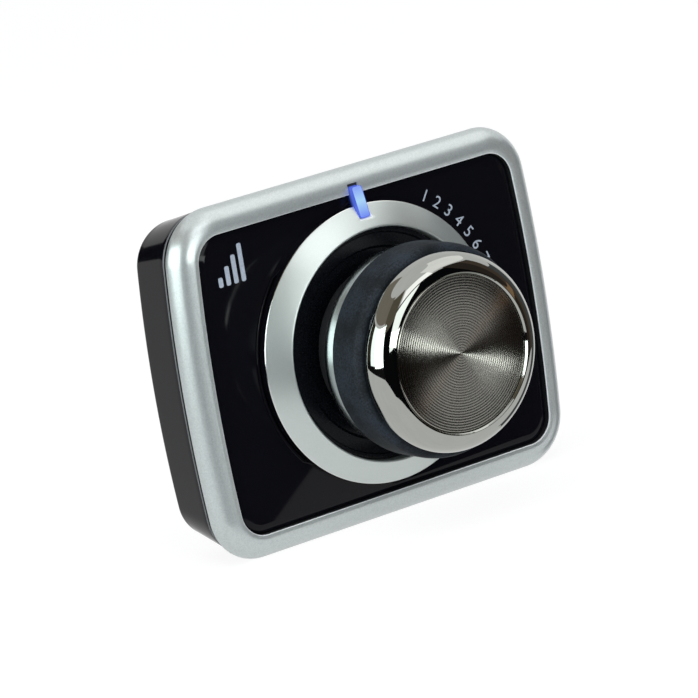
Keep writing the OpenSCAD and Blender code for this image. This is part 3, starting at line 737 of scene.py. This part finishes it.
# Dial well
# A stepped black dish moulded in ABS and seated inside the ring.
# It hides the encoder's nut and closes the gap below the knob.
(_, _, well_back), (well_r, _, well_top) = span("dial_well")
well_floor = well_back + 1.0
well_step = well_back + 2.2
well_shelf = well_step + 0.5
well_lip = 0.7
well_foot = 0.9
well_hole = 6.57
pit_r = 9.7
pit_mouth = 10.1
step_r = 15.2
shelf_r = 15.5
well_profile = rounded(
    [
        [well_hole, well_back],
        [well_r, well_back],
        [well_r, well_top],
        [well_r - well_lip, well_top],
        [well_r - well_foot, well_shelf],
        [shelf_r, well_shelf],
        [step_r, well_step],
        [pit_mouth, well_step],
        [pit_r, well_floor],
        [well_hole, well_floor],
    ],
    [0.05, 0.05, 0.12, 0.12, 0.1, 0.12, 0.1, 0.15, 0.15, 0.1],
)
# Unpolished ABS: a softer black than the panel, with a broad dull sheen.
well_black = moulded("satin_black_well", "#0b0d11", "#12151a", 0.22, 0.4, 0.004, 1.28)
well = skin("well_moulding", [(turned(well_profile), True, True, 0)], [well_black])
place(well, "housing", "gloss_black", "dial_well")


# Trim ring
# A cone turned from aluminium, crowned a little, bead-blasted and anodised, then pressed into the panel.
# A notch at twelve o'clock takes the light bar. The rim is cut bright with a diamond tool. The notch's edges
# carry a painted highlight, and the side is painted black as shade.
ring_in = well_r + 0.15
ring_edge_z = face_z + 1.4
inner_cut = 0.3
inner_ease = 0.07
inner_wall = ring_top - 0.25
outer_cut = 0.12
cone_crown = 0.05
nick = 0.22
notch_r = bar_low - slot_gap
cone_in = ring_in + inner_cut
cone_out = ring_r - outer_cut
cone = (ring_top - ring_edge_z) / (cone_out - cone_in)
notch_point = np.array([notch_r, ring_edge_z + cone * (cone_out - notch_r)])
nick_point = notch_point + [-nick, nick * cone]
outer_edge = rounded(
    [
        [ring_in, ring_back],
        [ring_r, ring_back],
        [ring_r, ring_edge_z - outer_cut],
        [cone_out, ring_edge_z],
        notch_point,
    ],
    [0.02, 0.02, 0.05, 0.05, hair],
)[: 4 * corner_steps]
inner_edge = rounded(
    [
        notch_point,
        [cone_in, ring_top],
        [ring_in + 0.4 * inner_cut, ring_top - inner_ease],
        [ring_in, inner_wall],
        [ring_in, ring_back],
    ],
    [hair, 0.09, 0.09, 0.08, 0.02],
)[corner_steps : 4 * corner_steps]
cone_step = np.linspace(0, 1, 8)[1:-1, None]
ring_profile = np.vstack([
    outer_edge,
    outer_edge[-1] + cone_step * (notch_point - outer_edge[-1]),
    [notch_point, notch_point, nick_point],
    nick_point + cone_step * (inner_edge[0] - nick_point),
    inner_edge,
])
cone_share = np.clip((ring_profile[:, 0] - cone_in) / (cone_out - cone_in), 0, 1)
ring_profile[:, 1] += 4 * cone_crown * cone_share * (1 - cone_share)

# Columns run from one wall of the notch the long way round to the other, and then along the notch's bottom.
long_columns = 239
far_wall = long_columns + 1
profile_r, profile_z = ring_profile[:, :1], ring_profile[:, 1:]
ring_gap = np.arcsin(slot_x / profile_r)
side_cut = nick / profile_r
long_way = ring_gap + side_cut + np.linspace(0, 1, long_columns) * (2 * pi - 2 * ring_gap - 2 * side_cut)
bearing = np.hstack([ring_gap, long_way, 2 * pi - ring_gap, 2 * pi - ring_gap, 0 * ring_gap, ring_gap])
column = np.arange(bearing.shape[1])
in_notch = column > far_wall
at_wall = (column == 0) | (column == far_wall)
ring_row = np.arange(len(ring_profile))[:, None]
end_row = len(outer_edge) + len(cone_step)
at_end = ring_row == end_row + 1
to_end = ring_row <= end_row + 1
nicked = at_wall & to_end & (profile_z > slot_floor + nick)
ring_z = np.where(in_notch & (ring_row <= end_row), np.minimum(profile_z, slot_floor), profile_z)
ring_z = np.where(nicked | in_notch & at_end, profile_z - nick, ring_z)
ring_points = panel(profile_r * np.sin(bearing), profile_r * np.cos(bearing), ring_z)
side_row = 2 * corner_steps
rim_start = 3 * corner_steps - 1
rim_end = rim_start + 2
notch_sides = ((column == 0) | (column == long_columns)) & (ring_row >= side_row) & to_end
# The notch's sides and its end carry the painted highlight.
ring_finish = np.where(notch_sides | in_notch & at_end, 3, 0)
ring_finish = np.where((ring_row >= rim_start) & (ring_row < rim_end), 1, ring_finish)
# Painted shade: the ring's back and outer side take the panel's black.
ring_finish = np.where((ring_row < rim_start) & ~in_notch, 2, ring_finish)

# Bead-blasted anodised aluminium: an even satin grain with no direction.
grit = 0.12
blasted, tree, shader = surface("blasted_anodised_aluminium", Metallic=0.72, Roughness=0.31)
where = add(tree, "ShaderNodeTexCoord")
noise = add(
    tree,
    "ShaderNodeTexNoise",
    {"Vector": where.outputs["Object"], "Scale": 1 / (grit * mm), "Detail": 2.0},
)
tone = add(tree, "ShaderNodeValToRGB", {"Fac": noise.outputs["Fac"]}, [(0, "#c2cac7"), (1, "#d4dcd9")])
bump = add(
    tree,
    "ShaderNodeBump",
    {"Height": noise.outputs["Fac"], "Strength": 0.25, "Distance": 0.01 * mm},
)
tree.links.new(tone.outputs["Color"], shader.inputs["Base Color"])
tree.links.new(bump.outputs["Normal"], shader.inputs["Normal"])
# The same metal cut with a diamond tool: bright and clear.
cut_edge = plated("diamond_cut_aluminium", "#dfe1e0", "#f0f1f0", 0.14, 0.6)
# A painted highlight: matt near-white on the notch's sides and on its end round the bar.
notch_highlight, _, _ = surface("painted_notch_highlight", Base_Color=linear("#f8fbfb"), Roughness=0.5)
ring_metals = [blasted, cut_edge, panel_black, notch_highlight]
ring = skin("blasted_ring", [(ring_points, True, True, ring_finish)], ring_metals)
place(ring, "housing", "ring_metal", "trim_ring")


# Light bar
# A light pipe moulded in blue-tinted acrylic: it rises from the light source on the board through the
# chassis, and its head lies across the ring, the panel and the bezel. A dark recess is left at its far end.
bar_far_z = crest_z + 0.8
bar_corner = 0.35
bar_ease = 0.16
bar_recess = 0.35
bar_end = bar_high - bar_recess
bar_mid = (bar_low + bar_end) / 2
bar_long = (bar_end - bar_low) / 2
slope = (bar_far_z - bar_top) / (bar_high - bar_low)


def bar_top_at(up):
    """Height of the bar's top: it falls evenly from the ring to the bezel."""
    return bar_top + slope * (up - bar_low)


bar_turn = np.linspace(0, pi / 2, 6)
bar_in = np.concatenate([[0, 0], bar_ease * (1 - np.cos(bar_turn))])
bar_drop = np.concatenate([[0, 0], bar_ease * (1 - np.sin(bar_turn))])[:, None]
bar_loops = np.stack([round_box(bar_half - d, bar_long - d, bar_corner - d) for d in bar_in])
bar_x = bar_loops[..., 0]
bar_y = bar_loops[..., 1] + bar_mid
bar_z = bar_top_at(bar_y) - bar_drop
bar_z[0] = slot_floor
ridge_y = np.clip(bar_y[:1], bar_low + bar_half, bar_end - bar_half)
bar_x = np.vstack([bar_x[:1] * 0, bar_x, bar_x[:1] * 0])
bar_y = np.vstack([ridge_y, bar_y, ridge_y])
bar_z = np.vstack([ridge_y * 0 + slot_floor, bar_z, bar_top_at(ridge_y)])
stem_play = 0.02
stem_half = 1.1
stem_corner = 0.2
stem_up = ring_r + 0.4
stem_front = slot_floor + 0.2
stem_loop = round_box(bar_half - stem_play, stem_half, stem_corner, 4) + [0, stem_up]
stem_mid = stem_loop.mean(0)
stem = np.stack([stem_loop * 0 + stem_mid, stem_loop, stem_loop, stem_loop * 0 + stem_mid])
stem_z = np.array([[stem_back], [stem_back], [stem_front], [stem_front]])

# Blue acrylic lit from below: brightest at mid length, a deeper blue at both ends, dark low on the sides.
glow_strength = 0.92
glow_depth = 0.8
dark_depth = 1.7
lit, tree, shader = surface("lit_blue_acrylic", Base_Color=linear("#16235c"), Roughness=0.25, IOR=1.49)
where = add(tree, "ShaderNodeTexCoord")
apart = add(tree, "ShaderNodeSeparateXYZ", {"Vector": where.outputs["Object"]})
along = add(
    tree,
    "ShaderNodeMapRange",
    {"Value": apart.outputs["Z"], "From Min": bar_low * mm, "From Max": bar_high * mm},
)
glow = add(tree, "ShaderNodeValToRGB", {"Fac": along.outputs["Result"]}, [(0, "#7088ee"), (1, "#7f95f2")])
glow.color_ramp.elements.new(0.5).color = linear("#aedaf4")
facing = add(tree, "ShaderNodeSeparateXYZ", {"Vector": where.outputs["Normal"]})
flat = add(tree, "ShaderNodeMapRange", {"Value": facing.outputs["Y"], "From Min": -0.35, "From Max": -0.75})
tint = add(
    tree,
    "ShaderNodeMixRGB",
    {"Fac": flat.outputs["Result"], "Color1": linear("#5068d4"), "Color2": glow.outputs["Color"]},
)
top_there = add(
    tree,
    "ShaderNodeMapRange",
    {"Value": along.outputs["Result"], "To Min": -bar_top * mm, "To Max": -bar_far_z * mm},
)
below = add(
    tree,
    "ShaderNodeMath",
    {0: apart.outputs["Y"], 1: top_there.outputs["Result"]},
    operation="SUBTRACT",
)
fade = add(
    tree,
    "ShaderNodeMapRange",
    {
        "Value": below.outputs["Value"],
        "From Min": glow_depth * mm,
        "From Max": dark_depth * mm,
        "To Min": glow_strength,
        "To Max": 0.0,
    },
)
tree.links.new(tint.outputs["Color"], shader.inputs["Emission Color"])
tree.links.new(fade.outputs["Result"], shader.inputs["Emission Strength"])
bar_head = (panel(bar_x, bar_y, bar_z), False, True, 0)
bar_stem = (panel(stem[..., 0], stem[..., 1], stem_z), False, True, 0)
light_bar = skin("lit_bar", [bar_head, bar_stem], [lit])
place(light_bar, "housing", "light", "light_pipe")


# Knob skirt
# A thin flared collar behind the grip, stamped from sheet brass and chrome plated.
# It is pressed on the knob's core and turns with it.
(_, _, skirt_back), (skirt_r, _, skirt_front) = span("knob_skirt")
skirt_taper = 2.5
skirt_edge = 0.4
skirt_foot_r = skirt_r - skirt_taper
core_bore = skirt_foot_r - 1.15
band_taper = 0.27
band_share = 0.4
band_round = 0.6
flare_bend = 1.25
flare_steps = 24
flare_start = skirt_back + skirt_edge
band_z = skirt_front - band_share * (skirt_front - skirt_back - skirt_edge)
flare_t = np.linspace(0, 1, flare_steps)
flare = np.column_stack([
    skirt_foot_r + (skirt_taper - band_taper) * (1 - (1 - flare_t) ** flare_bend),
    flare_start + (band_z - skirt_back - skirt_edge) * flare_t,
])
band_edge = [[skirt_r, skirt_front]]
band_corner = rounded(
    np.vstack([flare, band_edge]),
    np.concatenate([np.zeros(flare_steps - 1), [band_round, 0]]),
)[(flare_steps - 1) * corner_steps : flare_steps * corner_steps]
skirt_foot = rounded(
    [
        [core_bore, skirt_front],
        [core_bore, skirt_back],
        [skirt_foot_r - skirt_edge, skirt_back],
        flare[0],
    ],
    [0.02, 0.05, 0.15, hair],
)[: 3 * corner_steps]
# The corner's curve stands in for the flare's last four points.
skirt_profile = np.vstack([skirt_foot, flare[:-4], band_corner, band_edge])
# Chrome on sheet metal: a clear mirror, a little softened.
chrome = plated("bright_chrome", "#b8bcbf", "#cacecf", 0.12, 1.5)
skirt = skin("plated_skirt", [(turned(skirt_profile), True, True, 0)], [chrome])
place(skirt, "knob", "bright_chrome", "knob_skirt")


# Grip sleeve
# A thick rubber tyre with round edges, moulded and stretched over the knob's core.
# It keeps the fingers from slipping.
(_, _, grip_back), (grip_r, _, grip_front) = span("grip_sleeve")
grip_bore = grip_r - 2.3
grip_bevel = 0.3
grip_profile = rounded(
    [
        [grip_bore, grip_back],
        [skirt_r, grip_back],
        [grip_r, grip_back + grip_bevel],
        [grip_r, grip_front],
        [grip_bore, grip_front],
    ],
    [0.1, 0.1, 0.2, 1.3, 0.3],
    10,
)
# Moulded rubber: dull blue-black with a fine tooth, and paler where it has been handled.
tooth_size = 0.3
worn_size = 5
tooth_depth = 0.06
rubber, tree, shader = surface("moulded_rubber", Roughness=0.7, IOR=1.33)
where = add(tree, "ShaderNodeTexCoord")
tooth = add(
    tree,
    "ShaderNodeTexNoise",
    {"Vector": where.outputs["Object"], "Scale": 1 / (tooth_size * mm), "Detail": 4.0},
)
worn = add(
    tree,
    "ShaderNodeTexNoise",
    {"Vector": where.outputs["Object"], "Scale": 1 / (worn_size * mm), "Detail": 5.0},
)
blend = add(tree, "ShaderNodeMath", {0: tooth.outputs["Fac"], 1: worn.outputs["Fac"]}, operation="MULTIPLY")
rubber_tones = [(0.16, "#0a1117"), (0.36, "#27313b")]
tone = add(tree, "ShaderNodeValToRGB", {"Fac": blend.outputs["Value"]}, rubber_tones)
bump = add(
    tree,
    "ShaderNodeBump",
    {"Height": tooth.outputs["Fac"], "Strength": 0.8, "Distance": tooth_depth * mm},
)
tree.links.new(tone.outputs["Color"], shader.inputs["Base Color"])
tree.links.new(bump.outputs["Normal"], shader.inputs["Normal"])
grip = skin("rubber_grip", [(turned(grip_profile), True, True, 0)], [rubber])
place(grip, "knob", "grip_rubber", "grip_sleeve")


# Knob cap
# A zinc casting polished to a mirror and plated in dark nickel: a tall rounded rim round a shallow seat.
# It snaps over a spigot on the core.
(_, _, cap_back), (cap_r, _, cap_front) = span("knob_cap")
(_, _, disc_back), (disc_r, _, disc_front) = span("spun_disc")
crest_r = disc_r + 0.3
seat_r = disc_r + 0.05
seat_mouth = disc_r + 0.15
cap_wall = cap_back + 0.8
cap_turn = np.linspace(0, pi / 2, 40)
cap_rim = np.column_stack([
    crest_r + (cap_r - crest_r) * np.cos(cap_turn),
    cap_wall + (cap_front - cap_wall) * np.sin(cap_turn),
])
cap_foot = rounded(
    [
        [0, cap_back],
        [cap_r - 0.45, cap_back],
        [cap_r - 0.12, cap_back + 0.25],
        [cap_r, cap_back + 0.55],
        cap_rim[0],
    ],
    [0, 0.12, 0.15, 0.15, hair],
)[corner_steps : 4 * corner_steps]
cap_seat = rounded(
    [
        cap_rim[-1],
        [seat_mouth, disc_front + 0.1],
        [seat_r, disc_front],
        [seat_r, disc_back],
        [0, disc_back],
    ],
    [hair, 0.08, 0.05, 0.02, 0],
)[corner_steps : 4 * corner_steps]
cap_profile = np.vstack([[[0, cap_back]], cap_foot, cap_rim, cap_seat, [[0, disc_back]]])
# Dark nickel on polished zinc: a warm grey mirror.
nickel = plated("polished_dark_nickel", "#a8aaa5", "#b2b4af", 0.03, 3.0)
cap = skin("nickel_cap", [(turned(cap_profile), False, True, 0)], [nickel])
place(cap, "knob", "black_nickel", "knob_cap")


# Spun disc
# A disc of dark-plated aluminium, crowned a little and faced on a lathe, which leaves fine grooves round its
# centre, shallower and finer toward the rim. It is glued into the cap's seat.
groove_pitch = 0.42
groove_depth = 0.022
bevel = 0.2
crown = 0.08
rim_depth = 0.4
fine_from = 0.5
fine_to = 0.9
groove_r = np.linspace(0, disc_r - bevel, 281)
disc_share = groove_r / disc_r
toward_rim = np.clip((disc_share - fine_from) / (fine_to - fine_from), 0, 1)
depth_here = groove_depth * (1 - (1 - rim_depth) * toward_rim)
groove = depth_here * (0.5 - 0.5 * np.cos(2 * pi * groove_r / groove_pitch))
disc_face = np.column_stack([groove_r, disc_front - groove - crown * disc_share**2])[::-1]
disc_side = np.array([[0, disc_back], [disc_r, disc_back], [disc_r, disc_front - bevel]])
disc_profile = np.vstack([disc_side, disc_face])
# Lathe-faced metal: bright fans where the grooves turn toward a light, dark between them.
coarse = 0.27
fine = 0.14
spun, tree, shader = surface("lathe_faced_aluminium", Metallic=1.0, Anisotropic=1.0)
shader.inputs["Base Color"].default_value = linear("#a09f98")
where = add(tree, "ShaderNodeTexCoord")
across = add(
    tree,
    "ShaderNodeVectorMath",
    {0: (1, 0, 1), 1: where.outputs["Object"]},
    operation="MULTIPLY",
)
away = add(tree, "ShaderNodeVectorMath", {0: across.outputs["Vector"]}, operation="LENGTH")
finer = add(
    tree,
    "ShaderNodeMapRange",
    {
        "Value": away.outputs["Value"],
        "From Min": fine_from * disc_r * mm,
        "From Max": fine_to * disc_r * mm,
        "To Min": coarse,
        "To Max": fine,
    },
)
turned_too = add(
    tree,
    "ShaderNodeVectorTransform",
    {"Vector": across.outputs["Vector"]},
    vector_type="VECTOR",
    convert_from="OBJECT",
    convert_to="WORLD",
)
tree.links.new(finer.outputs["Result"], shader.inputs["Roughness"])
tree.links.new(turned_too.outputs["Vector"], shader.inputs["Tangent"])
disc = skin("spun_face", [(turned(disc_profile), False, True, 0)], [spun], crisp=80)
place(disc, "knob", "spun_metal", "spun_disc")


# Studio
# A white sheet under the controller, in a white room. Cards that only reflections see stand for the windows,
# walls and sheets round it, and four soft lamps light it.
def shown_white(tree, lit_shader, share, strength, mirrored):
    """White to the eye and in reflections, and a lit surface to everything else."""
    path = add(tree, "ShaderNodeLightPath")
    seen = add(
        tree,
        "ShaderNodeMath",
        {0: path.outputs["Is Camera Ray"], 1: path.outputs["Is Glossy Ray"]},
        operation="MAXIMUM",
    )
    seen = add(
        tree,
        "ShaderNodeMath",
        {0: seen.outputs["Value"], 1: path.outputs["Is Transmission Ray"]},
        operation="MAXIMUM",
    )
    part = add(tree, "ShaderNodeMath", {0: seen.outputs["Value"], 1: share}, operation="MULTIPLY")
    bright = add(
        tree,
        "ShaderNodeMapRange",
        {"Value": path.outputs["Is Camera Ray"], "To Min": mirrored, "To Max": strength},
    )
    white = add(tree, "ShaderNodeEmission", {"Color": (1, 1, 1, 1), "Strength": bright.outputs["Result"]})
    return add(
        tree,
        "ShaderNodeMixShader",
        {0: part.outputs["Value"], 1: lit_shader, 2: white.outputs["Emission"]},
    )


floor_level = cad_box[0].z
floor_reach = np.array([-6.0, 6.0])
paper = bpy.data.materials.new("white_paper")
paper.use_nodes = True
tree = paper.node_tree
tree.nodes.clear()
matt = add(tree, "ShaderNodeBsdfDiffuse", {"Color": (0.85, 0.85, 0.85, 1)})
mix = shown_white(tree, matt.outputs["BSDF"], share=0.82, strength=1.12, mirrored=1.0)
add(tree, "ShaderNodeOutputMaterial", {"Surface": mix.outputs["Shader"]})
floor_x, floor_y = np.meshgrid(floor_reach, floor_reach)
floor_points = np.stack([floor_x, floor_y, floor_x * 0 + floor_level], -1)
floor = skin("floor", [(floor_points, False, False, 0)], [paper])
floor.visible_glossy = False

world = bpy.data.worlds.new("room")
world.use_nodes = True
scene.world = world
tree = world.node_tree
tree.nodes.clear()
ambient = add(tree, "ShaderNodeBackground", {"Color": (0.92, 0.96, 1.0, 1), "Strength": 0.35})
mix = shown_white(tree, ambient.outputs["Background"], share=1.0, strength=1.0, mirrored=0.86)
add(tree, "ShaderNodeOutputWorld", {"Surface": mix.outputs["Shader"]})


def card(name, turn, rise, far, colour, strength, rise_there=None):
    """A patch of a sphere round the controller that only reflections see.

    Turn is degrees left of straight ahead and rise degrees above level, each from one value to another.
    A second rise, for the patch's far end, makes it a fan.
    """
    share = np.linspace(0, 1, 33)
    a = np.radians(turn[0] + share * (turn[1] - turn[0]))
    low, high = (np.radians(r + share * (s - r)) for r, s in zip(rise, rise_there or rise))
    e = low + np.linspace(0, 1, 17)[:, None] * (high - low)
    way = np.broadcast_arrays(-np.sin(a) * np.cos(e), -np.cos(a) * np.cos(e), np.sin(e))
    points = far * np.stack(way, -1)
    glow = bpy.data.materials.new(name)
    glow.use_nodes = True
    glow.node_tree.nodes.clear()
    light = add(glow.node_tree, "ShaderNodeEmission", {"Color": linear(colour), "Strength": strength})
    add(glow.node_tree, "ShaderNodeOutputMaterial", {"Surface": light.outputs["Emission"]})
    piece = skin(name, [(points, False, False, 0)], [glow])
    piece.visible_camera = piece.visible_diffuse = piece.visible_shadow = piece.visible_transmission = False


card("wall_left", (60, 180), (36, 64), 2.5, "#958d82", 1.0)
card("wall_low", (51, 140), (-15, 1), 2.5, "#1c1c1c", 1.0, (-5, 1))
card("wall_far", (115, 141), (0, 33), 2.5, "#3f3b34", 1.0)
card("wall_back", (138, 172), (4, 33), 2.5, "#08080b", 1.0)
card("window_near", (51, 94), (-4, 33), 2.4, "#eefaf7", 4.5)
card("window_far", (94, 115), (-2, 33), 2.4, "#eefaf7", 2.6)
card("gap_left", (17, 51), (-25, 24), 2.5, "#0e0f11", 1.0, (-15, 24))
card("gap_high", (17, 60), (24, 60), 2.4, "#6f685a", 1.0)
card("gap_low", (-16, 17), (-21, 4), 2.5, "#0e0f11", 1.0, (-25, 4))
card("window_front", (-16, 17), (-6, 29), 2.4, "#f6fcfa", 2.3, (1, 29))
card("window_sill", (-24, 17), (-9.4, -6.6), 2.3, "#f6fcfa", 6.0, (4, 14))
card("lintel", (-38, 17), (29, 33), 2.3, "#2a2622", 1.0)
card("sheet_front", (-28, 12), (33, 53), 2.4, "#ffffff", 2.1)
card("sheet_right", (-105, -28), (39, 70), 2.4, "#f8f8f6", 1.5)
card("gap_right", (-38, -16), (-16.5, 33), 2.5, "#0c0d0f", 1.0, (-21, 33))
card("wall_brown", (-56, -38), (-16.5, 36), 2.5, "#38312b", 1.0)
card("wall_tan", (-76, -56), (-16.5, 36), 2.5, "#54493f", 1.0)
card("shelf", (-66, -40), (1, 5), 2.3, "#a08062", 1.0, (-10, -8))
card("door_right", (-102, -74), (-42, 20), 2.4, "#55585a", 1.0)


def lamp(name, turn, rise, distance, size, power, colour):
    """A soft lamp aimed at the controller, turn degrees left of straight ahead and rise above level."""
    light = bpy.data.lights.new(name, "AREA")
    light.shape = "RECTANGLE"
    light.size, light.size_y = size
    light.energy = power
    light.color = linear(colour)[:3]
    turn, rise = radians(turn), radians(rise)
    way = Vector((-np.sin(turn) * np.cos(rise), -np.cos(turn) * np.cos(rise), np.sin(rise)))
    faced = way.to_track_quat("Z", "Y").to_matrix().to_4x4()
    holder = bpy.data.objects.new(name, light)
    holder.matrix_world = Matrix.Translation(way * distance) @ faced
    holder.visible_glossy = False
    scene.collection.objects.link(holder)


lamp("window_light", 0, 12, 1.2, (0.5, 0.5), 1.6, "#f4f8ff")
lamp("side_light", 80, 16, 1.2, (0.7, 0.5), 1.6, "#f4f8ff")
lamp("soft_key", 45, 68, 1.2, (0.9, 0.7), 5.5, "#fbfcff")
lamp("front_fill", 8, 12, 1.5, (1.2, 1.0), 5.0, "#fbfcff")
